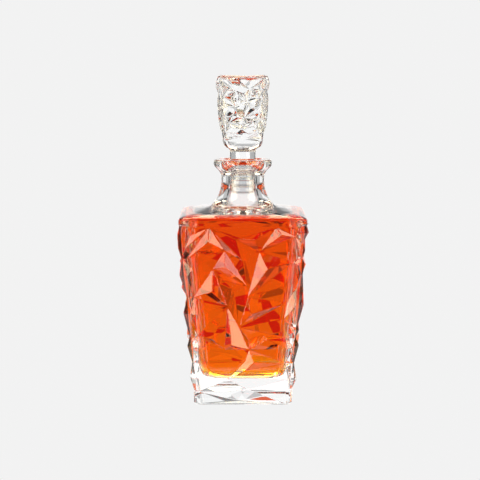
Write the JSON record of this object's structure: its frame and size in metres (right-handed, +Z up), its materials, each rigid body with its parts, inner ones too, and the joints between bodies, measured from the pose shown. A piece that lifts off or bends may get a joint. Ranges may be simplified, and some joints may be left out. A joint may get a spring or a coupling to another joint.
{
  "type": "crystal decanter",
  "caption": "Square shard-cut glass decanter with a round lipped neck, a matching square glass stopper in a clear sealing sleeve, and an amber liquid fill.",
  "frame": {"origin": "middle of the flat underside of the foot", "axes": "+Z up along the neck and stopper axis; each cut face looks along X or Y, with the face seen in the source view looking along -Y"},
  "size_m": [0.1036, 0.1036, 0.2573],
  "materials": {
    "bottle_glass": "fire-polished clear crystal",
    "whiskey": "clear amber liquid",
    "stopper_glass": "fire-polished clear crystal",
    "clear_sleeve": "smooth translucent plastic"
  },
  "bodies": {
    "bottle": {"bottle": "bottle_glass", "whiskey_fill": "whiskey"},
    "seal": {"stopper_seal": "clear_sleeve"},
    "stopper": {"stopper": "stopper_glass"}
  },
  "joints": [
    {"name": "stopper_lift", "type": "slide", "parent": "bottle", "child": "seal", "axis": [0, 0, 1], "range_m": [0, 0.06]},
    {"name": "stopper_turn", "type": "hinge", "parent": "seal", "child": "stopper", "pos_m": [0, 0, 0.176], "axis": [0, 0, 1], "continuous": true}
  ]
}
